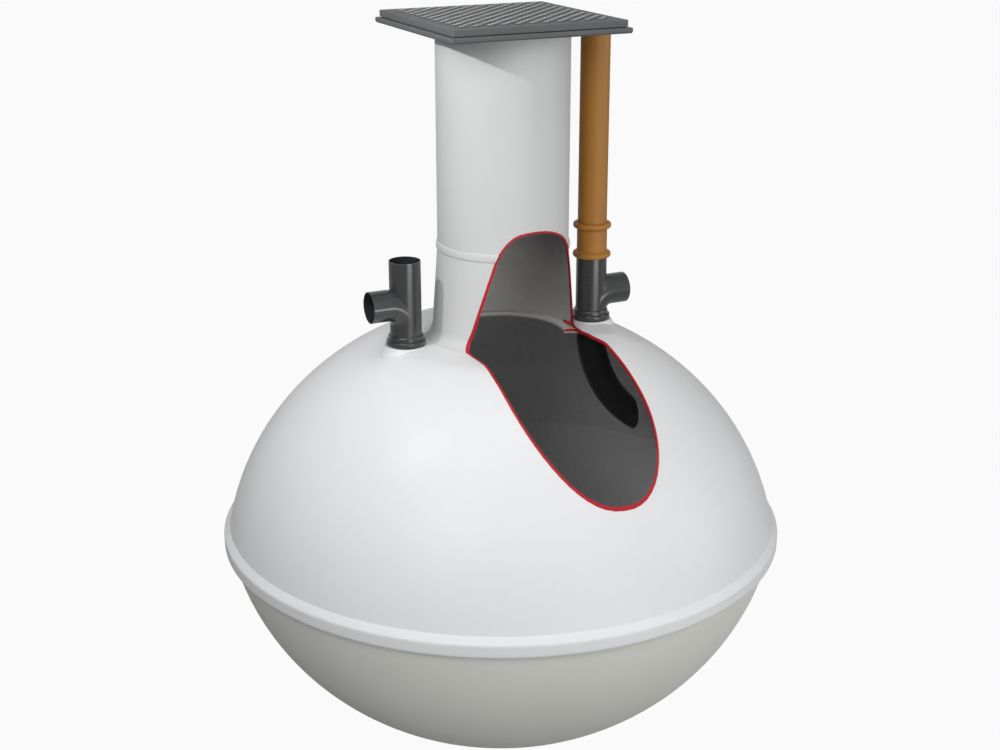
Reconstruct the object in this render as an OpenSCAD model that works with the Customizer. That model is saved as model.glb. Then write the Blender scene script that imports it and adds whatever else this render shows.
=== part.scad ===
// Onion-shaped glass-fibre septic tank, shown with a viewing window cut through
// its dome and neck. The origin is on the tank's axis at ground level, +Z is up
// and +X points from the inlet to the outlet. All sizes are in millimetres.

/* [Bulb] */
// Height of the bowl's lowest point above the ground
bowl_clear = 36; // [25:1:60]
// Depth of the bowl below the seam
bowl_depth = 844; // [650:1:1000]
// Outside radius of both mouldings at the seam
seam_r = 1054; // [900:1:1200]
// How far the bowl's ellipse swells past the seam radius
bowl_swell = 11.5; // [6:0.5:30]
// Radius where the dome bends over into the flat shoulder round the neck
shoulder_r = 407.5; // [400:0.5:440]
// How far the dome's ellipse swells past the seam radius
dome_swell = 13; // [6:0.5:30]
// Wall thickness of the bowl and dome
shell_t = 6; // [5:0.5:10]
// Height of the flat shoulder above the seam
shoulder_rise = 761; // [700:1:775]
// Radius of the access hole in the shoulder
hole_r = 240; // [200:1:250]

/* [Rim] */
// Height of the rolled rim that covers the seam
rim_h = 100; // [60:1:140]
// How far the rim hangs below the seam
rim_drop = 35; // [20:1:50]
// How far the rim stands out from the seam radius
rim_proud = 17; // [14:1:35]
// Width of the rim's flat underside past the bowl
rim_ledge = 7; // [4:1:9]
// Height above the seam where the rim's sloping top starts
rim_crown = 14; // [8:1:24]

/* [Foot] */
// Radius of the flat foot under the bowl
foot_r = 270; // [200:1:360]
// Rounding of the foot's lower edge
foot_round = 14; // [4:1:20]
// Bevel round the foot's upper edge
foot_bevel = 4; // [2:0.5:6]

/* [Neck] */
// How far the neck's axis stands off the tank's axis, towards the outlet
neck_x = 9; // [0:0.5:12]
// Outside radius of the neck's upper shaft
shaft_r = 242.5; // [225:0.5:255]
// Wall thickness of the neck
neck_t = 5; // [4:0.5:8]
// Outside radius of the tapered skirt just above its fillet
skirt_r = 263; // [256:1:275]
// Outside radius of the fillet where it lands on the shoulder
skirt_foot_r = 300; // [290:1:304]
// Height of the fillet
skirt_fillet_h = 55; // [30:1:80]
// Height of the skirt above the shoulder
skirt_h = 331; // [250:1:450]
// Height of the bead over the joint of skirt and shaft
bead_h = 28; // [16:1:40]
// How far the bead stands out from the shaft
bead_proud = 5; // [2:0.5:8]
// Length of the shaft above the joint
shaft_h = 795; // [500:5:1200]
// Width of the doubler ring bonded under the shoulder
lip_w = 50; // [30:1:60]
// Thickness of the doubler ring
lip_t = 7; // [4:0.5:12]

/* [Cover] */
// Side of the square cover frame
frame_w = 686; // [620:1:760]
// Height of the frame's rim
frame_h = 19; // [14:1:30]
// Bevel under the frame's edge
frame_bevel = 6; // [2:0.5:9]
// Cut across the corners of the frame and the lid
corner_cut = 5; // [3:1:16]
// Side of the square lid
lid_w = 661; // [590:1:680]
// Height of the lid's side, with the shadow gap under it
lid_h = 26; // [16:1:36]
// Height of the shadow gap between the frame and the lid
lid_gap = 4; // [2:0.5:8]
// Bevel round the top of the lid and the frame
top_bevel = 2.5; // [1:0.5:4]
// Side of each cell of the lid's tread
tread_cell = 26.35; // [20:0.05:40]
// Gap between the raised squares of the tread, corner to corner
tread_gap = 5; // [2:0.5:8]
// Height of the raised squares
tread_h = 4; // [2:0.5:6]
// Least width of the flat border round the tread
tread_border = 36; // [20:1:60]
// Clear opening radius in the frame
frame_hole_r = 215; // [180:1:225]
// Depth of the frame's spigot inside the shaft
spigot_h = 60; // [30:1:100]
// Wall of the spigot
spigot_t = 6; // [4:0.5:10]

/* [Pipework] */
// Outside diameter of the drain pipe
pipe_d = 110; // [100:1:125]
// Wall of the drain pipe
pipe_t = 3.2; // [2.5:0.1:5]
// Wall of a fitting round the pipe
socket_t = 2.8; // [2.4:0.1:5]
// Distance of each pipe fitting from the tank's axis
tee_x = 384; // [384:1:400]
// Height of a tee above its branch axis
tee_up = 161; // [130:1:200]
// Length of a tee below its branch axis
tee_down = 150; // [140:1:150]
// Reach of a branch from the tee's axis
branch_reach = 141; // [135:1:170]
// Bend radius of a branch's sweep
sweep_r = 76; // [66:1:80]
// Height of the inlet's branch axis above the shoulder
inlet_rise = 159; // [155:1:180]
// How much lower the outlet sits than the inlet
fall = 49; // [20:1:60]
// Outside diameter of the collar round a tee
collar_d = 146; // [136:1:148]
// Height of the collar round a tee
collar_h = 38; // [28:1:50]
// Top radius of the boss that carries a collar
boss_r = 77; // [75:1:78]
// How far the boss stands above the shoulder
boss_h = 4; // [3:0.5:8]
// How far the boss flares out down the slope of the dome
boss_flare = 36; // [20:1:50]
// Height over which the boss flares
boss_drop = 60; // [40:1:90]
// Thickness of the rubber seal under a collar
seal_h = 3; // [2:0.5:5]
// How far the seal stays back from the collar's edge
seal_inset = 4; // [2:0.5:8]
// Centreline radius of a dip bend
dip_r = 500; // [350:5:600]
// Overlap of a dip bend inside its tee
dip_lap = 50; // [30:1:60]
// Distance below the shoulder where a dip bend starts to curve
dip_start = 24; // [20:1:60]
// Reach of a dip bend's cut end past the tee's axis
dip_reach = 196; // [120:1:220]
// Length of the riser's coupling
coupling_h = 134; // [110:1:180]
// Height of each ring on the coupling
ring_h = 21; // [21:1:30]
// Outside diameter of the coupling's rings
ring_d = 144; // [136:1:155]
// Wall of the coupling between its rings
sleeve_t = 1.7; // [1.5:0.1:4]
// Overlap of the coupling over the tee
coupling_lap = 22; // [14:1:22]
// Height above the tee where the riser stops inside the coupling
coupling_stop = 14; // [8:1:20]
// Depth of the coupling's spigot inside the tee
coupling_spigot = 32; // [30:1:45]
// Gap between the riser pipe and the cover frame above it
riser_gap = 12; // [5:1:40]

/* [Window] */
// Middle of the window in the dome, along X
window_x = 36.5; // [0:0.5:60]
// Half width of the window in the dome
window_half = 257; // [200:1:262]
// Where the round end of the window starts, along -Y
window_start = 500; // [420:1:560]
// Depth of the window's round end
window_end = 395; // [250:1:420]
// Height of the arch cut in the neck, above the shoulder
arch_h = 433; // [370:1:480]
// Lap of the red edging over the shell beside the cut
edging_lap = 4.5; // [3:0.5:8]
// Thickness of the edging across the cut face
edging_nose = 3; // [2:0.5:5]
// How far the edging stands proud of the shell
edging_proud = 1.5; // [1:0.5:3]

/* [Hidden] */
$fn = 180;
clear = 0.3;
eps = 1;
shoulder_blend = 12;
seam_z = bowl_clear + bowl_depth;
shoulder_z = seam_z + shoulder_rise;
dome_k = moulding_k(dome_swell);
dome_rise = shoulder_rise*(1 - dome_k)/(sqrt(1 - pow(shoulder_r/(seam_r + dome_swell), 2)) - dome_k);
skirt_top_z = shoulder_z + skirt_h;
shaft_top_z = skirt_top_z + shaft_h;
frame_top_z = shaft_top_z + frame_h;
lid_top_z = frame_top_z + lid_h;
fitting_r = pipe_d/2 + clear;
tee_r = fitting_r + socket_t;
bore_r = pipe_d/2 - pipe_t;
boss_z = shoulder_z + boss_h;
inlet_z = shoulder_z + inlet_rise;
outlet_z = inlet_z - fall;
coupling_z = outlet_z + tee_up - coupling_lap;
riser_top_z = shaft_top_z - riser_gap;
riser_z = coupling_z + coupling_lap + coupling_stop;

// Front view of the arch, as shares of the shaft's radius and the arch's height
arch_shape = [[1.16, -0.023], [1.09, 0.018], [1.03, 0.06], [1.005, 0.115], [0.973, 0.346], [0.913, 0.589],
    [0.79, 0.808], [0.594, 0.924], [0.28, 0.991], [-0.066, 0.993], [-0.268, 0.949], [-0.437, 0.822],
    [-0.544, 0.647], [-0.689, 0.37], [-0.804, 0.127], [-0.87, 0.03], [-0.945, -0.023]];
// Right edge of the dome's window from the neck outwards, as shares of the access hole's
// radius, measured from the window's side and the tank's axis
lip_shape = [[-0.131, -0.429], [-0.072, -0.667], [-0.05, -0.98], [-0.021, -1.29], [0, -1.75]];

// Points along an arc of radius r round c, from angle a0 to a1
function arc(c, r, a0, a1, n) = [for (i = [0:n]) let (a = a0 + (a1 - a0)*i/n) c + r*[cos(a), sin(a)]];
function reversed(p) = [for (i = [len(p) - 1:-1:0]) p[i]];
function unit(v) = v/norm(v);

// A path moved sideways by d, to the right of its direction
function shift(p, d) = [for (i = [0:len(p) - 1])
    let (a = p[max(i - 1, 0)], b = p[min(i + 1, len(p) - 1)], v = unit(b - a)) p[i] + d*[v.y, -v.x]];

// A curve from a to d that leaves and arrives along the lines a-b and c-d
function bezier(a, b, c, d, n) = [for (i = [0:n]) let (t = i/n, s = 1 - t)
    s*s*s*a + 3*s*s*t*b + 3*s*t*t*c + t*t*t*d];

// A smooth curve through every point of p, with n steps a span
function smooth(p, n) = [for (i = [0:len(p) - 2]) for (k = [0:(i == len(p) - 2 ? n : n - 1)])
    let (a = p[max(i - 1, 0)], b = p[i], c = p[i + 1], d = p[min(i + 2, len(p) - 1)], t = k/n)
    0.5*(2*b + t*(c - a) + t*t*(2*a - 5*b + 4*c - d) + t*t*t*(3*b - a - 3*c + d))];

// Outside of an elliptic moulding that passes through the seam, and whose pole is
// rise above it, from height h0 to h1 above the seam
function moulding_k(swell) = sqrt(1 - pow(seam_r/(seam_r + swell), 2));
function moulding(rise, swell, h0, h1, n) =
    let (b = rise/(1 - moulding_k(swell)), c = rise - b, a0 = asin((h0 - c)/b), a1 = asin((h1 - c)/b))
    [for (i = [0:n]) let (a = a0 + (a1 - a0)*i/n) [(seam_r + swell)*cos(a), c + b*sin(a)]];

// Outside of the dome from the seam to the access hole
function dome_path() =
    let (side = moulding(dome_rise, dome_swell, 0, shoulder_rise - shoulder_blend, 26), n = len(side) - 1,
        v = unit(side[n] - side[n - 1]), corner = side[n] + v*(shoulder_rise - side[n].y)/v.y,
        reach = norm(corner - side[n]))
    [for (p = concat([for (i = [0:n - 1]) side[i]], bezier(side[n], corner, corner, corner - [reach, 0], 5),
        [[hole_r, shoulder_rise]]))
        p + [0, seam_z]];

// Outside of the bowl from its pole up to the seam
function bowl_path() = reversed(
    [for (p = moulding(bowl_depth, bowl_swell, 0, bowl_depth - 0.01, 30)) [p.x, seam_z - p.y]]);

// Height of the bowl's underside at radius x
function bowl_under(x) = bowl_clear + bowl_depth/(1 - moulding_k(bowl_swell))*(
    1 - sqrt(1 - pow(x/(seam_r + bowl_swell), 2)));

// Outside and inside of the neck, skirt and shaft together
function neck_outer() = concat(
    bezier([skirt_foot_r, shoulder_z], [skirt_r + 0.2*skirt_fillet_h, shoulder_z + 0.1*skirt_fillet_h],
        [skirt_r, shoulder_z + 0.4*skirt_fillet_h], [skirt_r, shoulder_z + skirt_fillet_h], 8),
    [[shaft_r + eps, skirt_top_z], [shaft_r, skirt_top_z], [shaft_r, shaft_top_z]]);
function neck_inner() = [[skirt_r - neck_t, shoulder_z], [skirt_r - neck_t, shoulder_z + skirt_fillet_h],
    [shaft_r - neck_t, skirt_top_z], [shaft_r - neck_t, shaft_top_z]];

// Ring swept round the tank's axis from an outer path and its thickness
module shell(path, outside, inside) {
    rotate_extrude() polygon(concat(shift(path, outside), reversed(shift(path, -inside))));
}

// Outline of the window in the dome, from inside the access hole round to it again
function window_path() =
    let (side = window_x + window_half, lip = [for (p = lip_shape) [side, 0] + hole_r*p])
    concat(
        [0.4*hole_r*unit(lip[0])],
        smooth(lip, 4),
        [for (i = [0:28]) let (a = 180*i/28, c = cos(a), e = 2/2.25)
            [window_x + window_half*sign(c)*pow(abs(c), e), -window_start - window_end*pow(sin(a), e)]],
        [[window_x - window_half, -0.2*hole_r]]);

// Front view of the arch cut in the neck, grown sideways by g
function arch(g) = shift(smooth([for (p = arch_shape) [p.x*shaft_r, p.y*arch_h]], 3), g);

module dome_window(g) {
    linear_extrude(height = shaft_top_z) polygon(shift(window_path(), -g));
}

module neck_window(g) {
    translate([0, 0, shoulder_z]) rotate([90, 0, 0]) linear_extrude(height = 2*skirt_foot_r) polygon(arch(g));
}

// Moves its children to a pipe fitting: side is -1 for the inlet, 1 for the outlet,
// and turns +X outwards
module at_fitting(side, z) {
    translate([side*tee_x, 0, z]) rotate([0, 0, side > 0 ? 0 : 180]) children();
}

// Ring or disc with plain ends
module tube(r, bore, h) {
    difference() {
        cylinder(r = r, h = h);
        translate([0, 0, -eps]) cylinder(r = bore, h = h + 2*eps);
    }
}

module bowl() {
    color([0.86, 0.86, 0.84]) shell(bowl_path(), 0, shell_t);
}

// Flat pad moulded under the bowl, its top following the bowl
module base_foot() {
    top_r = foot_r - foot_bevel;
    color([0.86, 0.86, 0.84]) rotate_extrude() polygon(concat(
        [[0, 0]], arc([foot_r - foot_round, foot_round], foot_round, -90, 0, 6),
        [[foot_r, bowl_under(foot_r) - foot_bevel]],
        [for (i = [8:-1:0]) [top_r*i/8, bowl_under(top_r*i/8) - clear]]));
}

module dome() {
    color([0.9, 0.9, 0.89]) difference() {
        shell(dome_path(), 0, shell_t);
        dome_window(0);
        for (side = [-1, 1]) at_fitting(side, seam_z) cylinder(r = tee_r + 2*clear, h = dome_rise);
    }
}

// Rolled rim bonded round the seam: flat below, upright in front and sloping on top
module seam_rim() {
    top_z = seam_z - rim_drop + rim_h;
    low = [seam_r + rim_ledge, seam_z - rim_drop];
    face_r = seam_r + rim_proud;
    crown = [face_r, seam_z + rim_crown];
    inner_dome = [for (p = shift(dome_path(), clear)) if (p.y < top_z) p];
    inner_bowl = [for (p = shift(bowl_path(), clear)) if (p.y > low.y) p];
    top = inner_dome[len(inner_dome) - 1] + [1, 0];
    slope = unit(top - crown);
    color([0.9, 0.9, 0.89]) rotate_extrude() polygon(concat(
        [low],
        bezier(low + [1, 0], [face_r - 0.1*rim_drop, low.y], [face_r, low.y + 0.15*rim_drop],
            [face_r, low.y + 0.4*rim_drop], 5),
        bezier(crown - [0, 0.9*rim_crown], crown, crown, crown + 0.9*rim_crown*slope, 6),
        [top],
        reversed(inner_dome),
        reversed(inner_bowl),
        [[inner_bowl[0].x - 1, low.y]]));
}

// Moves its children onto the neck's axis
module at_neck() {
    translate([neck_x, 0, 0]) children();
}

// Neck grown outwards and inwards by g
module neck_section(g) {
    at_neck() rotate_extrude() polygon(concat(shift(neck_outer(), g), reversed(shift(neck_inner(), -g))));
}

module neck_skirt() {
    color([0.88, 0.88, 0.87]) difference() {
        neck_section(0);
        translate([0, 0, skirt_top_z]) cylinder(r = 2*skirt_foot_r, h = shaft_h + eps);
        neck_window(0);
    }
}

module neck_shaft() {
    color([0.88, 0.88, 0.87]) difference() {
        at_neck() translate([0, 0, skirt_top_z]) tube(shaft_r, shaft_r - neck_t, shaft_h);
        neck_window(0);
    }
}

module neck_bead() {
    inner = shaft_r + clear;
    color([0.92, 0.92, 0.91]) difference() {
        at_neck() rotate_extrude() polygon(concat([[inner, skirt_top_z + clear]],
            bezier([inner + bead_proud - 1, skirt_top_z + clear], [inner + bead_proud + 1, skirt_top_z + 2],
                [inner + bead_proud, skirt_top_z + bead_h], [inner + 1, skirt_top_z + bead_h], 8),
            [[inner, skirt_top_z + bead_h]]));
        neck_window(edging_lap + clear);
    }
}

// Reinforcing ring bonded under the shoulder round the access hole
module neck_doubler() {
    color([0.75, 0.75, 0.74]) difference() {
        translate([0, 0, shoulder_z - shell_t - lip_t]) tube(hole_r + lip_w, hole_r, lip_t);
        dome_window(0);
    }
}

// Square slab of side w and height h on the level z, with cut corners and bevelled edges
module slab(w, z, h, low_bevel, high_bevel) {
    half = w/2;
    cut = half - corner_cut;
    section = [[-half, low_bevel], [low_bevel - half, 0], [half - low_bevel, 0], [half, low_bevel],
        [half, h - high_bevel], [half - high_bevel, h], [high_bevel - half, h], [-half, h - high_bevel]];
    translate([0, 0, z]) intersection() {
        linear_extrude(height = h) polygon([[half, -cut], [half, cut], [cut, half], [-cut, half],
            [-half, cut], [-half, -cut], [-cut, -half], [cut, -half]]);
        translate([0, half + eps, 0]) rotate([90, 0, 0]) linear_extrude(height = w + 2*eps) polygon(section);
        rotate([0, 0, 90]) translate([0, half + eps, 0]) rotate([90, 0, 0])
            linear_extrude(height = w + 2*eps) polygon(section);
    }
}

module cover_frame() {
    color([0.38, 0.39, 0.4]) difference() {
        slab(frame_w, shaft_top_z, frame_h, frame_bevel, top_bevel);
        translate([0, 0, shaft_top_z - eps]) cylinder(r = frame_hole_r, h = frame_h + 2*eps);
    }
}

module cover_spigot() {
    color([0.38, 0.39, 0.4]) at_neck() translate([0, 0, shaft_top_z - spigot_h])
        tube(shaft_r - neck_t - clear, shaft_r - neck_t - clear - spigot_t, spigot_h);
}

// Raised squares in every other cell of the lid, over the area inside its border
module tread() {
    n = 2*floor((lid_w/2 - tread_border)/tread_cell);
    side = tread_cell - tread_gap;
    start = -n*tread_cell/2 + tread_gap/2;
    translate([0, 0, lid_top_z - eps]) linear_extrude(height = tread_h + eps)
        for (i = [0:n - 1]) for (j = [i % 2:2:n - 1])
            translate([start + i*tread_cell, start + j*tread_cell]) square(side);
}

module cover_lid() {
    color([0.42, 0.43, 0.44]) union() {
        translate([0, 0, frame_top_z]) linear_extrude(height = lid_gap + eps)
            square(lid_w - 4*lid_gap, center = true);
        slab(lid_w, frame_top_z + lid_gap, lid_h - lid_gap, 0, top_bevel);
        tread();
    }
}

// Pad on the dome that carries a collar, level on top and flared into the slope
module boss(side) {
    color([0.88, 0.88, 0.87]) difference() {
        at_fitting(side, boss_z - boss_drop) cylinder(r1 = boss_r + boss_flare, r2 = boss_r, h = boss_drop);
        rotate_extrude() polygon(concat([[0, seam_z]], shift(dome_path(), clear), [[0, shoulder_z + clear]]));
        at_neck() translate([0, 0, seam_z]) cylinder(r = skirt_foot_r + clear, h = dome_rise);
        at_fitting(side, seam_z) cylinder(r = tee_r + 2*clear, h = dome_rise);
    }
}

module inlet_boss() { boss(-1); }
module outlet_boss() { boss(1); }

module seal(side) {
    color([0.08, 0.08, 0.08]) at_fitting(side, boss_z) tube(collar_d/2 - seal_inset, tee_r + clear, seal_h);
}

module inlet_seal() { seal(-1); }
module outlet_seal() { seal(1); }

// Two stacked rounded rings that hold the tee upright on its boss
module collar(side) {
    r = collar_d/2;
    low_h = 0.5*collar_h;
    low_round = 0.12*collar_h;
    top_round = 0.16*collar_h;
    top_r = r - low_round - 0.1*collar_h;
    color([0.18, 0.19, 0.2]) at_fitting(side, boss_z + seal_h) rotate_extrude() polygon(concat(
        [[tee_r + clear, 0]],
        arc([r - low_round, low_round], low_round, -90, 0, 3),
        arc([r - low_round, low_h - low_round], low_round, 0, 90, 3),
        [[top_r, low_h]],
        arc([top_r - top_round, collar_h - top_round], top_round, 0, 90, 4),
        [[tee_r + clear, collar_h]]));
}

module inlet_collar() { collar(-1); }
module outlet_collar() { collar(1); }

// Outside or bore of a swept tee, with its branch axis at the origin along +X
module tee_form(r, branch_r, end) {
    translate([0, 0, -tee_down - end]) cylinder(r = r, h = tee_up + tee_down + 2*end);
    translate([sweep_r, 0, 0]) rotate([0, 90, 0]) cylinder(r = branch_r, h = branch_reach - sweep_r + end);
    translate([sweep_r, 0, -sweep_r]) rotate([90, 0, 0]) rotate([0, 0, 90]) rotate_extrude(angle = 90)
        translate([sweep_r, 0]) circle(r = branch_r);
}

module tee(side, z) {
    color([0.2, 0.21, 0.22]) at_fitting(side, z) difference() {
        tee_form(tee_r, tee_r, 0);
        tee_form(fitting_r, fitting_r, eps);
    }
}

module inlet_tee() { tee(-1, inlet_z); }
module outlet_tee() { tee(1, outlet_z); }

// Bend that leads down into the tank and away from the neck, cut upright at its end
module dip_bend(side, z) {
    top = z - tee_down + dip_lap;
    start = shoulder_z - dip_start;
    sweep = acos(1 - (dip_reach + pipe_d)/dip_r);
    color([0.05, 0.05, 0.05]) at_fitting(side, start) difference() {
        union() {
            tube(pipe_d/2, bore_r, top - start);
            translate([dip_r, 0, 0]) rotate([90, 0, 0]) rotate([0, 0, 180]) rotate_extrude(angle = sweep)
                translate([dip_r, 0]) difference() {
                    circle(r = pipe_d/2);
                    circle(r = bore_r);
                }
        }
        translate([dip_reach, -pipe_d, -2*dip_r]) cube([dip_r, 2*pipe_d, 2*dip_r]);
    }
}

module inlet_dip_bend() { dip_bend(-1, inlet_z); }
module outlet_dip_bend() { dip_bend(1, outlet_z); }

// Double-ringed coupling: its lower ring caps the tee, its upper socket takes the riser
module riser_coupling() {
    r = ring_d/2;
    round_r = 0.4*ring_h;
    sleeve_r = fitting_r + sleeve_t;
    ring_foot = 0.2*ring_h;
    cap = coupling_lap;
    seat = cap + coupling_stop;
    foot = cap - coupling_spigot;
    color([0.65, 0.42, 0.16]) at_fitting(1, coupling_z) rotate_extrude() polygon(concat(
        [[tee_r + clear, 0]],
        arc([r - round_r, round_r], round_r, -90, 0, 5),
        arc([r - round_r, ring_h - round_r], round_r, 0, 90, 5),
        [[sleeve_r, ring_h + ring_foot], [sleeve_r, coupling_h - ring_h - ring_foot]],
        arc([r - round_r, coupling_h - ring_h + round_r], round_r, -90, 0, 5),
        arc([r - round_r, coupling_h - round_r], round_r, 0, 90, 5),
        [[fitting_r, coupling_h], [fitting_r, seat], [bore_r, seat], [bore_r, foot],
        [fitting_r - clear, foot], [fitting_r - clear, cap], [tee_r + clear, cap]]));
}

module riser_pipe() {
    color([0.65, 0.42, 0.16]) at_fitting(1, riser_z) tube(pipe_d/2, bore_r, riser_top_z - riser_z);
}

// Red channel that wraps the cut edge of the dome
module dome_edging() {
    color([0.75, 0.12, 0.15]) difference() {
        intersection() {
            shell(dome_path(), edging_proud, shell_t + edging_proud);
            difference() {
                dome_window(edging_lap);
                dome_window(-edging_nose);
            }
        }
        difference() {
            shell(dome_path(), clear, shell_t + clear);
            dome_window(-clear);
        }
        translate([0, 0, seam_z]) cylinder(r = hole_r + lip_w + clear, h = shoulder_rise - shell_t + clear);
    }
}

// Red channel that wraps the cut edge of the neck
module neck_edging() {
    color([0.75, 0.12, 0.15]) difference() {
        intersection() {
            neck_section(edging_proud);
            difference() {
                neck_window(edging_lap);
                neck_window(-edging_nose);
            }
        }
        difference() {
            neck_section(clear);
            neck_window(-clear);
        }
        translate([0, 0, seam_z]) cylinder(r = seam_r, h = shoulder_rise + edging_proud + clear);
    }
}

bowl();
base_foot();
dome();
seam_rim();
neck_skirt();
neck_bead();
neck_shaft();
neck_doubler();
cover_frame();
cover_spigot();
cover_lid();
inlet_boss();
inlet_seal();
inlet_collar();
inlet_tee();
inlet_dip_bend();
outlet_boss();
outlet_seal();
outlet_collar();
outlet_tee();
outlet_dip_bend();
riser_coupling();
riser_pipe();
dome_edging();
neck_edging();
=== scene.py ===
"""Dresses the cut-away septic tank: its camera, light, finishes and shading normals.

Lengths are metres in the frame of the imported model, with the ground at z = 0.
"""
import logging
import math
from dataclasses import dataclass, field
from enum import Enum
from typing import Callable

import bpy
from mathutils import Matrix, Vector

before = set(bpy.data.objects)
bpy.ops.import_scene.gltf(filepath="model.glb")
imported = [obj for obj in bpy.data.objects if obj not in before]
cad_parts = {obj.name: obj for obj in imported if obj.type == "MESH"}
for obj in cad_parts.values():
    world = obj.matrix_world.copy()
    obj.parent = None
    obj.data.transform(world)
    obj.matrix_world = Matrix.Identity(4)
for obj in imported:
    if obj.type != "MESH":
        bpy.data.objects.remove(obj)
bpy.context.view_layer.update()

log = logging.getLogger("septic_tank")

Colour = tuple[float, float, float]
Point = tuple[float, float, float]
Pair = tuple[float, float]
Profile = Callable[[float, float], Pair]

WHITE: Colour = (1.0, 1.0, 1.0)
CORNERS_A_METRE = 1e5  # corners on the same point of this grid count as one place
TINY = 1e-6  # keeps a radius or a slope away from zero
NO_LENGTH = 1e-12  # a summed normal that is shorter has no direction
SWEPT_MATCH = 0.93  # the cosine of the greatest turn between a face and its sweep


class Skin(Enum):
    """Which side of a moulding a face belongs to."""

    OUTSIDE = 0
    INSIDE = 1


class MixSocket(Enum):
    """The colour sockets of a Mix node, by number."""

    SHARE = 0
    FIRST = 6
    SECOND = 7
    RESULT = 2


@dataclass(frozen=True)
class Grain:
    """A noise pattern.

    Attributes:
        scale: Waves a metre.
        detail: The number of finer layers.
        rough: The strength of the finer layers.
        band: The values that become 0 and 1; None leaves the noise as it is.
        stretch: The scale by axis, for streaks.
    """

    scale: float
    detail: float = 3.0
    rough: float = 0.5
    band: Pair | None = None
    stretch: Point | None = None


class Sock:
    """A node's output socket that adds Math nodes when it is used in an expression."""

    def __init__(self, graph: "Graph", socket: bpy.types.NodeSocket | None) -> None:
        """Wraps one socket of a graph.

        Args:
            graph: The graph that the socket belongs to.
            socket: The output socket, or None for a node that has none.
        """
        self.graph = graph
        self.socket = socket

    def _math(self, operation: str, first: "Sock | float", second: "Sock | float") -> "Sock":
        """Adds one Math node.

        Args:
            operation: The Math node's operation.
            first: Its first value.
            second: Its second value.

        Returns:
            The node's output.
        """
        return self.graph.add("ShaderNodeMath", {"operation": operation}, {0: first, 1: second})

    def __add__(self, other: "Sock | float") -> "Sock":
        """Adds a value."""
        return self._math("ADD", self, other)

    def __radd__(self, other: float) -> "Sock":
        """Adds to a number."""
        return self._math("ADD", other, self)

    def __sub__(self, other: "Sock | float") -> "Sock":
        """Takes a value away."""
        return self._math("SUBTRACT", self, other)

    def __rsub__(self, other: float) -> "Sock":
        """Takes this away from a number."""
        return self._math("SUBTRACT", other, self)

    def __mul__(self, other: "Sock | float") -> "Sock":
        """Multiplies by a value."""
        return self._math("MULTIPLY", self, other)

    def __truediv__(self, other: "Sock | float") -> "Sock":
        """Divides by a value."""
        return self._math("DIVIDE", self, other)

    def abs(self) -> "Sock":
        """The size without its sign."""
        return self._math("ABSOLUTE", self, 0.0)

    def fraction(self) -> "Sock":
        """The part after the decimal point."""
        return self._math("FRACT", self, 0.0)

    def least(self, other: "Sock | float") -> "Sock":
        """The smaller of the two."""
        return self._math("MINIMUM", self, other)

    def most(self, other: "Sock | float") -> "Sock":
        """The larger of the two."""
        return self._math("MAXIMUM", self, other)

    def between(self, low: float, high: float) -> "Sock":
        """Rises smoothly from 0 at low to 1 at high.

        Args:
            low: The value where it leaves 0.
            high: The value where it reaches 1.

        Returns:
            The smoothed value.
        """
        return self.graph.add(
            "ShaderNodeMapRange", {"interpolation_type": "SMOOTHSTEP"},
            {"Value": self, "From Min": low, "From Max": high, "To Min": 0.0, "To Max": 1.0},
        )


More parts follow.
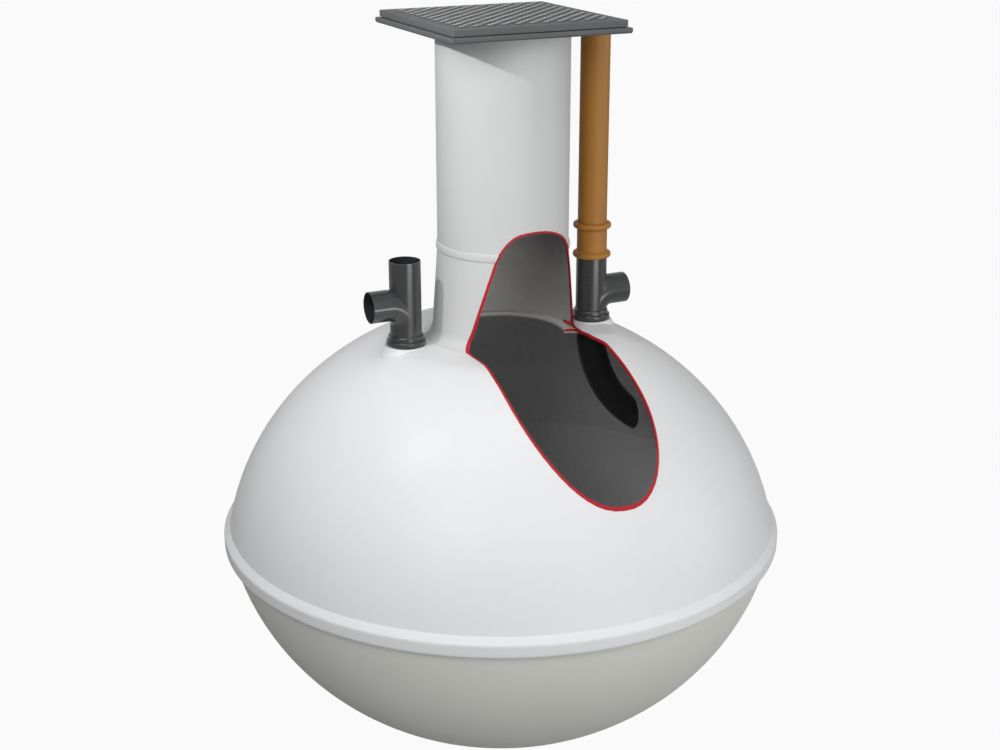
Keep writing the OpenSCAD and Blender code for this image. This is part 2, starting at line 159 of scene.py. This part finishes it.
class Graph:
    """The nodes of a material or of the world, added by type."""

    def __init__(self, name: str, tree: bpy.types.NodeTree | None = None) -> None:
        """Empties a tree, or makes an empty material.

        Args:
            name: The material's name.
            tree: The tree to fill, where it isn't a material's.
        """
        self.material: bpy.types.Material | None = None
        if tree is None:
            self.material = bpy.data.materials.new(name)
            self.material.use_nodes = True
            tree = self.material.node_tree
        self.tree = tree
        self.tree.nodes.clear()

    def add(
        self,
        kind: str,
        settings: dict | None = None,
        inputs: dict | None = None,
        out: int | str = 0,
    ) -> Sock:
        """Adds a node of any type.

        Args:
            kind: The node's type.
            settings: Its own settings, set before its inputs.
            inputs: Values or links by the socket's name or number.
            out: The output that is returned.

        Returns:
            The chosen output.
        """
        node = self.tree.nodes.new(kind)
        for key, value in (settings or {}).items():
            setattr(node, key, value)
        for key, value in (inputs or {}).items():
            if isinstance(value, Sock):
                self.tree.links.new(value.socket, node.inputs[key])
            elif isinstance(value, tuple) and node.inputs[key].type == "RGBA":
                node.inputs[key].default_value = (*value, 1.0)
            else:
                node.inputs[key].default_value = value
        return Sock(self, node.outputs[out] if node.outputs else None)

    def place(self) -> Sock:
        """The point on the object, in metres."""
        return self.add("ShaderNodeTexCoord", out="Object")

    def axis(self, vector: Sock, name: str) -> Sock:
        """One axis of a vector."""
        return self.add("ShaderNodeSeparateXYZ", inputs={0: vector}, out=name)

    def stretched(self, vector: Sock, scale: Point) -> Sock:
        """A vector scaled by axis."""
        return self.add("ShaderNodeVectorMath", {"operation": "MULTIPLY"}, {0: vector, 1: scale})

    def noise(self, vector: Sock, grain: Grain) -> Sock:
        """A noise pattern from 0 to 1.

        Args:
            vector: Where it is read.
            grain: The pattern.

        Returns:
            The pattern's value.
        """
        if grain.stretch:
            vector = self.stretched(vector, grain.stretch)
        value = self.add(
            "ShaderNodeTexNoise", {"noise_dimensions": "3D"},
            {"Vector": vector, "Scale": grain.scale, "Detail": grain.detail,
             "Roughness": grain.rough},
            out="Fac",
        )
        return value.between(*grain.band) if grain.band else value

    def mixed(self, share: Sock, first: "Sock | Colour", second: "Sock | Colour") -> Sock:
        """Mixes two colours.

        Args:
            share: 0 for the first, 1 for the second.
            first: The first colour.
            second: The second colour.

        Returns:
            The mixed colour.
        """
        inputs = {
            MixSocket.SHARE.value: share,
            MixSocket.FIRST.value: first,
            MixSocket.SECOND.value: second,
        }
        return self.add("ShaderNodeMix", {"data_type": "RGBA"}, inputs, MixSocket.RESULT.value)

    def mottled(self, share: Sock, colour: Colour, tints: Pair) -> Sock:
        """A colour that varies between two tints of itself.

        Args:
            share: 0 for the first tint, 1 for the second.
            colour: The colour.
            tints: How light the two tints are, as shares of the colour.

        Returns:
            The varied colour.
        """
        first, second = (shade(colour, tint) for tint in tints)
        return self.mixed(share, first, second)

    def bumped(self, height: Sock, depth: float, strength: float) -> Sock:
        """A normal from a height.

        Args:
            height: The height, from 0 to 1.
            depth: The depth of 1, in metres.
            strength: How much of it shows.

        Returns:
            The normal.
        """
        return self.add(
            "ShaderNodeBump",
            inputs={"Height": height, "Distance": depth, "Strength": strength},
            out="Normal",
        )

    def surface(self, inputs: dict) -> bpy.types.Material:
        """Ends the graph in a Principled surface.

        Args:
            inputs: Values or links of its sockets.

        Returns:
            The finished material.
        """
        return self.close(self.add("ShaderNodeBsdfPrincipled", inputs=inputs))

    def close(self, shader: Sock) -> bpy.types.Material:
        """Joins a shader to the material's output."""
        self.add("ShaderNodeOutputMaterial", inputs={"Surface": shader})
        return self.material


def shade(colour: Colour, share: float) -> Colour:
    """A colour made darker or lighter by a share."""
    return tuple(min(1.0, c * share) for c in colour)


@dataclass(frozen=True)
class GelCoat:
    """Sprayed gel coat: smooth, softly glossy, with faint clouds and orange peel."""

    name: str
    colour: Colour
    roughness: float = 0.4
    gloss: float = 0.06
    shine: float = 0.22
    cloud: Grain = Grain(1.7, 4.0, 0.55, (0.25, 0.75))
    peel: Grain = Grain(210.0, 2.0)
    drift: Grain = Grain(9.0, 2.0)
    dust: Grain = Grain(46.0, 5.0, 0.65, (0.52, 0.86))
    tints: Pair = (0.975, 1.01)
    dust_tint: float = 0.86
    dust_cover: float = 0.10
    cloud_dulling: float = 0.05
    dust_dulling: float = 0.08
    gloss_roughness: float = 0.3
    peel_height: float = 0.12
    drift_height: float = 0.88
    relief_depth: float = 0.0009
    relief_strength: float = 0.35

    def make(self) -> bpy.types.Material:
        """Builds the material."""
        g = Graph(self.name)
        p = g.place()
        cloud = g.noise(p, self.cloud)
        peel = g.noise(p, self.peel)
        drift = g.noise(p, self.drift)
        dust = g.noise(p, self.dust)
        clean = g.mottled(cloud, self.colour, self.tints)
        dusty = shade(self.colour, self.dust_tint)
        height = peel * self.peel_height + drift * self.drift_height
        dulling = cloud * self.cloud_dulling + dust * self.dust_dulling
        return g.surface({
            "Base Color": g.mixed(dust * self.dust_cover, clean, dusty),
            "Roughness": self.roughness + dulling,
            "Specular IOR Level": self.shine,
            "Coat Weight": self.gloss,
            "Coat Roughness": self.gloss_roughness,
            "Normal": g.bumped(height, self.relief_depth, self.relief_strength),
        })


@dataclass(frozen=True)
class Laminate:
    """Hand-laid laminate left raw on the inside: matt, with chopped strands in the resin."""

    name: str
    colour: Colour
    roughness: float = 0.55
    cloud: Grain = Grain(3.0, 4.0, 0.6, (0.3, 0.7))
    along: Grain = Grain(1.0, 3.0, 0.6, (0.45, 0.7), (9.0, 70.0, 70.0))
    across: Grain = Grain(1.0, 3.0, 0.6, (0.45, 0.7), (70.0, 9.0, 30.0))
    lumps: Grain = Grain(24.0, 3.0)
    tints: Pair = (0.93, 1.06)
    cloud_share: float = 0.5
    strand_share: float = 0.35
    strand_polish: float = 0.12
    strand_height: float = 0.6
    lump_height: float = 0.4
    relief_depth: float = 0.0008
    relief_strength: float = 0.4

    def make(self) -> bpy.types.Material:
        """Builds the material."""
        g = Graph(self.name)
        p = g.place()
        cloud = g.noise(p, self.cloud)
        strands = g.noise(p, self.along).most(g.noise(p, self.across))
        share = cloud * self.cloud_share + strands * self.strand_share
        height = strands * self.strand_height + g.noise(p, self.lumps) * self.lump_height
        return g.surface({
            "Base Color": g.mottled(share, self.colour, self.tints),
            "Roughness": self.roughness - strands * self.strand_polish,
            "Normal": g.bumped(height, self.relief_depth, self.relief_strength),
        })


@dataclass(frozen=True)
class DrainPlastic:
    """Drain plastic: even colour with faint draw lines along the pipe and light scuffs."""

    name: str
    colour: Colour
    roughness: float
    gloss: float
    scuff_tint: float
    lines: Grain = Grain(1.0, 2.0, stretch=(240.0, 240.0, 3.0))
    cloud: Grain = Grain(11.0, 3.0)
    scuffs: Grain = Grain(1.0, 5.0, 0.7, (0.6, 0.78), (34.0, 34.0, 160.0))
    tints: Pair = (0.92, 1.08)
    scuff_cover: float = 0.22
    scuff_dulling: float = 0.14
    cloud_dulling: float = 0.05
    gloss_roughness: float = 0.2
    line_height: float = 0.6
    cloud_height: float = 0.4
    relief_depth: float = 0.00035
    relief_strength: float = 0.4

    def make(self) -> bpy.types.Material:
        """Builds the material."""
        g = Graph(self.name)
        p = g.place()
        lines = g.noise(p, self.lines)
        cloud = g.noise(p, self.cloud)
        scuffs = g.noise(p, self.scuffs)
        body = g.mottled(cloud, self.colour, self.tints)
        scuffed = shade(self.colour, self.scuff_tint)
        height = lines * self.line_height + cloud * self.cloud_height
        dulling = scuffs * self.scuff_dulling + cloud * self.cloud_dulling
        return g.surface({
            "Base Color": g.mixed(scuffs * self.scuff_cover, body, scuffed),
            "Roughness": self.roughness + dulling,
            "Coat Weight": self.gloss,
            "Coat Roughness": self.gloss_roughness,
            "Normal": g.bumped(height, self.relief_depth, self.relief_strength),
        })


@dataclass(frozen=True)
class Rubber:
    """Dull black rubber with a fine bloom."""

    name: str
    colour: Colour = (0.012, 0.012, 0.012)
    roughness: float = 0.62
    bloom: Grain = Grain(60.0, 4.0, 0.6, (0.4, 0.75))
    grit: Grain = Grain(420.0, 2.0)
    bloom_tint: float = 1.9
    bloom_cover: float = 0.5
    bloom_dulling: float = 0.14
    relief_depth: float = 0.0002
    relief_strength: float = 0.5

    def make(self) -> bpy.types.Material:
        """Builds the material."""
        g = Graph(self.name)
        p = g.place()
        bloom = g.noise(p, self.bloom)
        bloomed = shade(self.colour, self.bloom_tint)
        return g.surface({
            "Base Color": g.mixed(bloom * self.bloom_cover, self.colour, bloomed),
            "Roughness": self.roughness + bloom * self.bloom_dulling,
            "Normal": g.bumped(g.noise(p, self.grit), self.relief_depth, self.relief_strength),
        })


@dataclass(frozen=True)
class EdgePaint:
    """Red trim along the cut edges, satin, with a slightly uneven coat."""

    name: str
    colour: Colour
    roughness: float = 0.46
    shine: float = 0.3
    cloud: Grain = Grain(26.0, 3.0)
    tints: Pair = (0.9, 1.08)
    cloud_dulling: float = 0.1
    relief_depth: float = 0.0004
    relief_strength: float = 0.4

    def make(self) -> bpy.types.Material:
        """Builds the material."""
        g = Graph(self.name)
        cloud = g.noise(g.place(), self.cloud)
        return g.surface({
            "Base Color": g.mottled(cloud, self.colour, self.tints),
            "Roughness": self.roughness + cloud * self.cloud_dulling,
            "Specular IOR Level": self.shine,
            "Normal": g.bumped(cloud, self.relief_depth, self.relief_strength),
        })


@dataclass(frozen=True)
class CoverComposite:
    """Moulded composite of the cover: speckled grey, pale on top of the tread from wear and a
    painted highlight.

    Attributes:
        tread_low: The height where the wear and painted highlight begin.
        tread_high: The height where it is full.
        cell: The side of one stud or gap of the tread.
        mark: Half the side of a pale mark, as a share of the cell.
        mark_blur: How far its edge fades to each side, as a share of the cell.
        mark_wear_and_highlight: What a mark adds to the wear and painted highlight.
        field_wear_and_highlight: The wear and painted highlight between the marks.
        patch_wear_and_highlight: Their least strength, and how much the patches add to it.
    """

    name: str
    colour: Colour
    worn_and_highlit: Colour
    tread_low: float
    tread_high: float
    roughness: float = 0.56
    cell: float = 0.02635
    mark: float = 0.3
    mark_blur: float = 0.05
    mark_wear_and_highlight: float = 0.9
    field_wear_and_highlight: float = 0.08
    patch_wear_and_highlight: Pair = (0.72, 0.4)
    grit: Grain = Grain(520.0, 2.0)
    speck: Grain = Grain(150.0, 4.0, 0.7, (0.5, 0.8))
    cloud: Grain = Grain(7.0, 4.0, 0.6)
    patches: Grain = Grain(30.0, 3.0)
    tints: Pair = (0.88, 1.12)
    speck_tint: float = 1.5
    speck_cover: float = 0.4
    speck_dulling: float = 0.1
    top_polish: float = 0.12
    grit_height: float = 0.5
    speck_height: float = 0.5
    relief_depth: float = 0.0005
    relief_strength: float = 0.5

    def make(self) -> bpy.types.Material:
        """Builds the material."""
        g = Graph(self.name)
        p = g.place()
        grit = g.noise(p, self.grit)
        speck = g.noise(p, self.speck)
        body = g.mottled(g.noise(p, self.cloud), self.colour, self.tints)
        pale = shade(self.colour, self.speck_tint)
        speckled = g.mixed(speck * self.speck_cover, body, pale)
        # The tops of the tread are painted paler: partly wear, partly a painted highlight of the
        # light that falls on them.
        top = g.axis(p, "Z").between(self.tread_low, self.tread_high)
        least, rise = self.patch_wear_and_highlight
        wear_and_highlight = top * self.marks(g, p) * (least + g.noise(p, self.patches) * rise)
        height = grit * self.grit_height + speck * self.speck_height
        return g.surface({
            "Base Color": g.mixed(wear_and_highlight.least(1.0), speckled, self.worn_and_highlit),
            "Roughness": self.roughness - top * self.top_polish + speck * self.speck_dulling,
            "Normal": g.bumped(height, self.relief_depth, self.relief_strength),
        })

    def marks(self, graph: Graph, place: Sock) -> Sock:
        """How pale the tread is from wear and a painted highlight: most in a square mark in each
        cell.

        Args:
            graph: The material's graph.
            place: The point on the object.

        Returns:
            The wear and painted highlight from 0 to 1.
        """
        off_x, off_y = (
            ((graph.axis(place, name) / self.cell).fraction() - 0.5).abs() for name in ("X", "Y")
        )
        edge = off_x.most(off_y).between(self.mark - self.mark_blur, self.mark + self.mark_blur)
        return (1.0 - edge) * self.mark_wear_and_highlight + self.field_wear_and_highlight


class Wardrobe:
    """Every finish of the tank, made once."""

    def __init__(self) -> None:
        """Builds the materials."""
        self.dome = GelCoat("dome_gelcoat", (0.80, 0.805, 0.815)).make()
        self.bowl = GelCoat(
            "bowl_gelcoat", (0.755, 0.757, 0.712), roughness=0.5, gloss=0.0, shine=0.12
        ).make()
        self.neck = GelCoat(
            "neck_gelcoat", (0.66, 0.668, 0.668), roughness=0.45, gloss=0.0, shine=0.18
        ).make()
        self.tank_inside = Laminate("raw_laminate", (0.69, 0.69, 0.696)).make()
        self.neck_inside = Laminate("neck_laminate", (0.46, 0.455, 0.44)).make()
        self.tee = DrainPlastic(
            "tee_charcoal", (0.028, 0.029, 0.0305), roughness=0.22, gloss=0.6, scuff_tint=1.8
        ).make()
        self.dip = DrainPlastic(
            "dip_black", (0.018, 0.018, 0.018), roughness=0.34, gloss=0.1, scuff_tint=2.2
        ).make()
        self.riser = DrainPlastic(
            "riser_ochre", (0.40, 0.17, 0.02), roughness=0.46, gloss=0.0, scuff_tint=1.25
        ).make()
        self.seal = Rubber("seal_rubber").make()
        self.edging = EdgePaint("edging_red", (0.48, 0.012, 0.02)).make()
        # The cover's pale tread colour is partly wear and partly a painted highlight.
        self.cover = CoverComposite(
            "cover_grey", (0.105, 0.109, 0.111), worn_and_highlit=(0.66, 0.66, 0.66),
            tread_low=2.8122, tread_high=2.8148,
        ).make()


def node_object(name: str) -> bpy.types.Object:
    """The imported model's object of that name."""
    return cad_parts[name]


def dress(obj: bpy.types.Object, *materials: bpy.types.Material) -> None:
    """Gives an object its materials, in the order of its faces' slots.

    Args:
        obj: The object.
        materials: The materials; faces use the first unless they say otherwise.
    """
    obj.data.materials.clear()
    for material in materials:
        obj.data.materials.append(material)


def coat(name: str, material: bpy.types.Material, limit: float) -> None:
    """Gives a piece of one material its finish and its shading.

    Args:
        name: The piece.
        material: Its material.
        limit: The turn between faces that soften takes as smooth, in degrees.
    """
    obj = node_object(name)
    dress(obj, material)
    soften(obj, limit)


def soften(obj: bpy.types.Object, limit: float, profile: Profile | None = None) -> None:
    """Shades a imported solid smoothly, and leaves its corners sharp.

    The solid's faces are split along their edges, so points that share a place are
    averaged where their faces turn less than the limit.

    Args:
        obj: The object, whose points stay where they are.
        limit: The turn between faces that still counts as smooth, in degrees.
        profile: Gives the normal's outward and upward part from radius and height, for
            a solid that is swept round the tank's axis.
    """
    mesh = obj.data
    near = math.cos(math.radians(limit))
    faces: dict[tuple[int, ...], list[tuple[Vector, float]]] = {}
    keys = [tuple(round(c * CORNERS_A_METRE) for c in v.co) for v in mesh.vertices]
    for poly in mesh.polygons:
        for index in poly.vertices:
            faces.setdefault(keys[index], []).append((poly.normal.copy(), poly.area))
    normals: list[Vector] = []
    for poly in mesh.polygons:
        poly.use_smooth = True
        own = poly.normal
        for index in poly.vertices:
            place = mesh.vertices[index].co
            normal = swept_normal(place, own, profile) if profile else None
            if normal is None:
                normal = averaged_normal(faces[keys[index]], own, near)
            normals.append(normal)
    mesh.normals_split_custom_set(normals)


def averaged_normal(faces: list[tuple[Vector, float]], own: Vector, near: float) -> Vector:
    """The mean normal of a corner's faces that turn little from one of them.

    Args:
        faces: Normal and area of every face at the corner.
        own: The normal of the face that the result is for.
        near: The cosine of the greatest turn that still counts.

    Returns:
        The mean by area, or the face's own normal where the mean has no length.
    """
    normal = Vector((0.0, 0.0, 0.0))
    for other, area in faces:
        if other.dot(own) >= near:
            normal += other * area
    return normal.normalized() if normal.length > NO_LENGTH else own


def outward_normal(place: Vector, profile: Profile) -> Vector:
    """The outward normal of a sweep round the tank's axis, near a point.

    Args:
        place: The point.
        profile: Outward and upward part of the normal, from radius and height.

    Returns:
        The normal.
    """
    radius = max(math.hypot(place.x, place.y), TINY)
    out, up = profile(radius, place.z)
    return Vector((out * place.x / radius, out * place.y / radius, up)).normalized()


def swept_normal(place: Vector, face_normal: Vector, profile: Profile) -> Vector | None:
    """The normal of a solid that is swept round the tank's axis.

    Args:
        place: The point.
        face_normal: The normal of the face that it belongs to.
        profile: Outward and upward part of the normal, from radius and height.

    Returns:
        The normal, or None where the face isn't part of the sweep.
    """
    if math.hypot(place.x, place.y) < TINY:
        return None
    normal = outward_normal(place, profile)
    turn = normal.dot(face_normal)
    if abs(turn) < SWEPT_MATCH:
        return None
    return normal if turn > 0 else -normal


@dataclass
class Tank:
    """The bowl, its foot, the dome and the rolled rim.

    Attributes:
        dome_radius: The ellipse's half width; height and centre are its half height and
            the height of its middle, and the bowl's values say the same.
        flat_from: The radius of the shoulder where the dome is level.
        slope_from: The radius where the dome has its full slope again.
        outside_from: The least agreement with the outward normal of an outside face.
        shell_limit: The turn that soften takes as smooth on the shells and the rim.
        foot_limit: The same on the foot.
    """

    wardrobe: Wardrobe
    dome_radius: float = 1.067
    dome_height: float = 0.9901
    dome_centre: float = 0.7259
    bowl_radius: float = 1.0655
    bowl_height: float = 0.9889
    bowl_centre: float = 1.0249
    flat_from: float = 0.40
    slope_from: float = 0.455
    outside_from: float = 0.5
    shell_limit: float = 25.0
    foot_limit: float = 30.0

    def dome_profile(self, radius: float, height: float) -> Pair:
        """The dome's normal: an ellipse that is bent over into the flat shoulder."""
        rise = (height - self.dome_centre) / self.dome_height ** 2
        out, up = radius / self.dome_radius ** 2, max(rise, TINY)
        share = (radius - self.flat_from) / (self.slope_from - self.flat_from)
        return out * min(1.0, max(0.0, share)), up

    def bowl_profile(self, radius: float, height: float) -> Pair:
        """The bowl's normal, an ellipse."""
        rise = (height - self.bowl_centre) / self.bowl_height ** 2
        return radius / self.bowl_radius ** 2, rise

    def build(self) -> list[str]:
        """Dresses the mouldings.

        Returns:
            The names of the pieces.
        """
        for name, profile, outside in (
            ("dome", self.dome_profile, self.wardrobe.dome),
            ("bowl", self.bowl_profile, self.wardrobe.bowl),
        ):
            moulding = node_object(name)
            dress(moulding, outside, self.wardrobe.tank_inside)
            self.line(moulding, profile)
            soften(moulding, self.shell_limit, profile)
        coat("seam_rim", self.wardrobe.dome, self.shell_limit)
        coat("base_foot", self.wardrobe.bowl, self.foot_limit)
        return ["dome", "bowl", "seam_rim", "base_foot"]

    def line(self, moulding: bpy.types.Object, profile: Profile) -> None:
        """Gives the inside finish to the faces that look inwards and to the cut ones.

        Args:
            moulding: The dome or bowl.
            profile: Its normal by radius and height.
        """
        for poly in moulding.data.polygons:
            match = outward_normal(poly.center, profile).dot(poly.normal)
            side = Skin.INSIDE if match < self.outside_from else Skin.OUTSIDE
            poly.material_index = side.value


@dataclass
class Neck:
    """The skirt, shaft, bead and doubler of the access neck.

    Attributes:
        axis_x: How far the neck stands to the outlet's side of the tank's axis.
        outside_from: The least agreement with the outward normal of an outside face.
        level_from: The least upward part of a normal that makes a face an outside one.
        shell_limit: The turn that soften takes as smooth on the skirt and shaft.
        bead_limit: The same on the bead.
        doubler_limit: The same on the doubler.
    """

    wardrobe: Wardrobe
    axis_x: float = 0.009
    outside_from: float = 0.3
    level_from: float = 0.3
    shell_limit: float = 24.0
    bead_limit: float = 40.0
    doubler_limit: float = 32.0

    def build(self) -> list[str]:
        """Dresses the neck.

        Returns:
            The names of the pieces.
        """
        for name in ("neck_skirt", "neck_shaft"):
            piece = node_object(name)
            dress(piece, self.wardrobe.neck, self.wardrobe.neck_inside)
            self.line(piece)
            soften(piece, self.shell_limit)
        coat("neck_bead", self.wardrobe.neck, self.bead_limit)
        coat("neck_doubler", self.wardrobe.neck_inside, self.doubler_limit)
        return ["neck_skirt", "neck_shaft", "neck_bead", "neck_doubler"]

    def line(self, piece: bpy.types.Object) -> None:
        """Gives the inside finish to inward and cut faces, unless they look upwards.

        Args:
            piece: The skirt or shaft.
        """
        for poly in piece.data.polygons:
            middle = poly.center
            outward = Vector((middle.x - self.axis_x, middle.y, 0.0)).normalized()
            inward = outward.dot(poly.normal) < self.outside_from
            inside = inward and poly.normal.z < self.level_from
            poly.material_index = Skin.INSIDE.value if inside else Skin.OUTSIDE.value


@dataclass
class Cover:
    """The square frame, its spigot and the lid."""

    wardrobe: Wardrobe
    limit: float = 28.0

    def build(self) -> list[str]:
        """Dresses the cover.

        Returns:
            The names of the pieces.
        """
        names = ["cover_frame", "cover_spigot", "cover_lid"]
        for name in names:
            coat(name, self.wardrobe.cover, self.limit)
        return names


@dataclass
class Pipework:
    """The tees, collars, bosses, seals, dip bends, coupling and riser."""

    wardrobe: Wardrobe
    sides: tuple[str, ...] = ("inlet", "outlet")
    limit: float = 34.0

    def build(self) -> list[str]:
        """Dresses the pipework.

        Returns:
            The names of the pieces.
        """
        finishes = {
            "boss": self.wardrobe.dome,
            "seal": self.wardrobe.seal,
            "collar": self.wardrobe.tee,
            "tee": self.wardrobe.tee,
            "dip_bend": self.wardrobe.dip,
        }
        made = {f"{side}_{part}": finishes[part] for side in self.sides for part in finishes}
        made |= {name: self.wardrobe.riser for name in ("riser_coupling", "riser_pipe")}
        for name, finish in made.items():
            coat(name, finish, self.limit)
        return list(made)


@dataclass
class Edging:
    """The red trim round the viewing window.

    Attributes:
        red_depth: How far below the dome's outside the paint reaches.
        red_above: The height from which the trim is painted all round.
        level_from: The least upward part of a normal of the back.
        limit: The turn that soften takes as smooth.
    """

    wardrobe: Wardrobe
    tank: Tank
    red_depth: float = 0.002
    red_above: float = 1.5
    level_from: float = 0.35
    limit: float = 34.0

    def build(self) -> list[str]:
        """Dresses the trim.

        Returns:
            The names of the pieces.
        """
        names = ["dome_edging", "neck_edging"]
        for name in names:
            coat(name, self.wardrobe.edging, self.limit)
        self.bare_back(node_object("dome_edging"))
        return names

    def bare_back(self, trim: bpy.types.Object) -> None:
        """Gives the back of the trim along the window's foot the inside finish.

        Args:
            trim: The dome's trim.
        """
        trim.data.materials.append(self.wardrobe.tank_inside)
        for poly in trim.data.polygons:
            middle = poly.center
            across = math.hypot(middle.x, middle.y) / self.tank.dome_radius
            along = (middle.z - self.tank.dome_centre) / self.tank.dome_height
            depth = (1.0 - math.hypot(across, along)) * self.tank.dome_radius
            upward = poly.normal.z > self.level_from and middle.z < self.red_above
            if upward and depth > self.red_depth:
                poly.material_index = Skin.INSIDE.value


@dataclass
class Camera:
    """The camera where the photographer stood.

    Attributes:
        place: Where it stands.
        right: The way its picture's right side points; up and back say the same.
        focal: Its focal length in pixels of the photo.
        width: The photo's width in pixels.
        sensor: The width of Blender's sensor, in millimetres.
        far: How far it sees.
    """

    place: Point = (-2.454, -5.153, 3.462)
    right: Point = (0.9030, -0.4296, -0.0003)
    up: Point = (0.1421, 0.2980, 0.9439)
    back: Point = (-0.4054, -0.8524, 0.3301)
    focal: float = 1588.9
    width: float = 1000.0
    sensor: float = 36.0
    far: float = 100.0

    def build(self) -> None:
        """Makes the camera and sets it."""
        data = bpy.data.cameras.new("photo_camera")
        data.sensor_fit = "HORIZONTAL"
        data.sensor_width = self.sensor
        data.lens = self.focal * self.sensor / self.width
        data.clip_end = self.far
        obj = bpy.data.objects.new("photo_camera", data)
        bpy.context.scene.collection.objects.link(obj)
        turn = Matrix((self.right, self.up, self.back)).transposed().to_4x4()
        obj.matrix_world = Matrix.Translation(self.place) @ turn
        bpy.context.scene.camera = obj


@dataclass
class Lamp:
    """A white area lamp, with its power in watts.

    Unless it is aimed elsewhere, it faces the middle of the tank.
    """

    name: str
    place: Point
    power: float
    aim: Point = (0.0, 0.0, 1.3)
    size: Pair = (3.0, 3.0)

    def build(self) -> None:
        """Makes the lamp."""
        data = bpy.data.lights.new(self.name, "AREA")
        data.shape = "RECTANGLE"
        data.size, data.size_y = self.size
        data.energy = self.power
        obj = bpy.data.objects.new(self.name, data)
        bpy.context.scene.collection.objects.link(obj)
        look = Vector(self.aim) - Vector(self.place)
        turn = look.to_track_quat("-Z", "Y").to_matrix().to_4x4()
        obj.matrix_world = Matrix.Translation(self.place) @ turn


@dataclass(frozen=True)
class Glow:
    """A broad side of the surroundings that gives light.

    Attributes:
        toward: The way to its middle.
        strength: Its strength in the middle.
        reach: The cosine where its light begins.
        full: The cosine where it has its full strength.
    """

    toward: Point
    strength: float
    reach: float = -0.6
    full: float = 0.9


@dataclass
class Studio:
    """The pale floor, the soft light and the white surroundings.

    Attributes:
        floor_size: The side of the floor.
        floor_white: How white the camera sees the floor; the rest shows its shadows.
        floor_grey: How much light the floor throws back.
        mirrored_white: How white floor and surroundings are in reflections.
        glows: The sides of the surroundings that give light.
        lamps: The lamps, a small hard one near the cover and five soft ones.
    """

    floor_size: float = 60.0
    floor_white: float = 0.95
    floor_grey: float = 0.28
    mirrored_white: float = 0.3
    glows: list[Glow] = field(default_factory=lambda: [
        Glow((0.0, -1.0, 0.0), 0.46),
        Glow((0.0, 1.0, 0.0), 0.4, reach=0.4),
    ])
    lamps: list[Lamp] = field(default_factory=lambda: [
        Lamp("near_lamp", (-1.58, -0.33, 3.352), 14.4, aim=(-0.2, 0.0, 2.0), size=(0.04, 0.04)),
        Lamp("left_lamp", (-4.393, -3.686, 5.315), 142.0),
        Lamp("front_lamp", (0.0, -5.936, 5.009), 25.7),
        Lamp("right_lamp", (5.97, -3.447, 2.516), 78.6),
        Lamp("top_lamp", (-0.356, -0.979, 7.209), 61.7),
        Lamp("low_lamp", (1.211, -6.867, 0.69), 93.8, size=(4.0, 1.2)),
    ])

    def build(self) -> None:
        """Makes the floor, world and lamps."""
        self.floor()
        self.world()
        for lamp in self.lamps:
            lamp.build()
        bpy.context.scene.view_settings.view_transform = "Standard"

    def floor(self) -> None:
        """A pale floor that the camera sees as white, apart from a trace of shadow."""
        mesh = bpy.data.meshes.new("studio_floor")
        half = self.floor_size / 2
        corners = [(-half, -half, 0), (half, -half, 0), (half, half, 0), (-half, half, 0)]
        mesh.from_pydata(corners, [], [(0, 1, 2, 3)])
        obj = bpy.data.objects.new("studio_floor", mesh)
        bpy.context.scene.collection.objects.link(obj)
        g = Graph("studio_floor")
        matt = g.add("ShaderNodeBsdfDiffuse", inputs={"Color": (self.floor_grey,) * 3})
        white = g.add("ShaderNodeEmission", inputs={"Color": WHITE, "Strength": 1.0})
        share = self.whiteness(g) * self.floor_white
        dress(obj, g.close(g.add("ShaderNodeMixShader", inputs={0: share, 1: matt, 2: white})))

    def world(self) -> None:
        """White to the camera, partly white in reflections, and lit by its glows."""
        world = bpy.data.worlds.new("studio_world")
        bpy.context.scene.world = world
        world.use_nodes = True
        g = Graph("studio_world", world.node_tree)
        way = g.add("ShaderNodeTexCoord", out="Generated")
        light = 0.0
        for glow in self.glows:
            side = g.add(
                "ShaderNodeVectorMath", {"operation": "DOT_PRODUCT"},
                {0: way, 1: glow.toward}, out="Value",
            )
            light = side.between(glow.reach, glow.full) * glow.strength + light
        white = self.whiteness(g)
        strength = white + (1.0 - white) * light
        sky = g.add("ShaderNodeBackground", inputs={"Color": WHITE, "Strength": strength})
        g.add("ShaderNodeOutputWorld", inputs={"Surface": sky})

    def whiteness(self, graph: Graph) -> Sock:
        """How white the surroundings are to the ray that meets them.

        Args:
            graph: The graph that asks.

        Returns:
            1 for the camera's rays, a share of it for reflections and 0 for light.
        """
        seen = graph.add("ShaderNodeLightPath", out="Is Camera Ray")
        mirrored = graph.add("ShaderNodeLightPath", out="Is Glossy Ray")
        return seen.most(mirrored * self.mirrored_white)


def main() -> None:
    """Builds the scene in order and reports its pieces."""
    logging.basicConfig(level=logging.INFO, format="%(name)s: %(message)s")
    Camera().build()
    wardrobe = Wardrobe()
    tank = Tank(wardrobe)
    assemblies = (tank, Neck(wardrobe), Cover(wardrobe), Pipework(wardrobe), Edging(wardrobe, tank))
    for assembly in assemblies:
        for piece in assembly.build():
            log.info("%s: %s", type(assembly).__name__, piece)
    Studio().build()


if __name__ == "__main__":
    main()
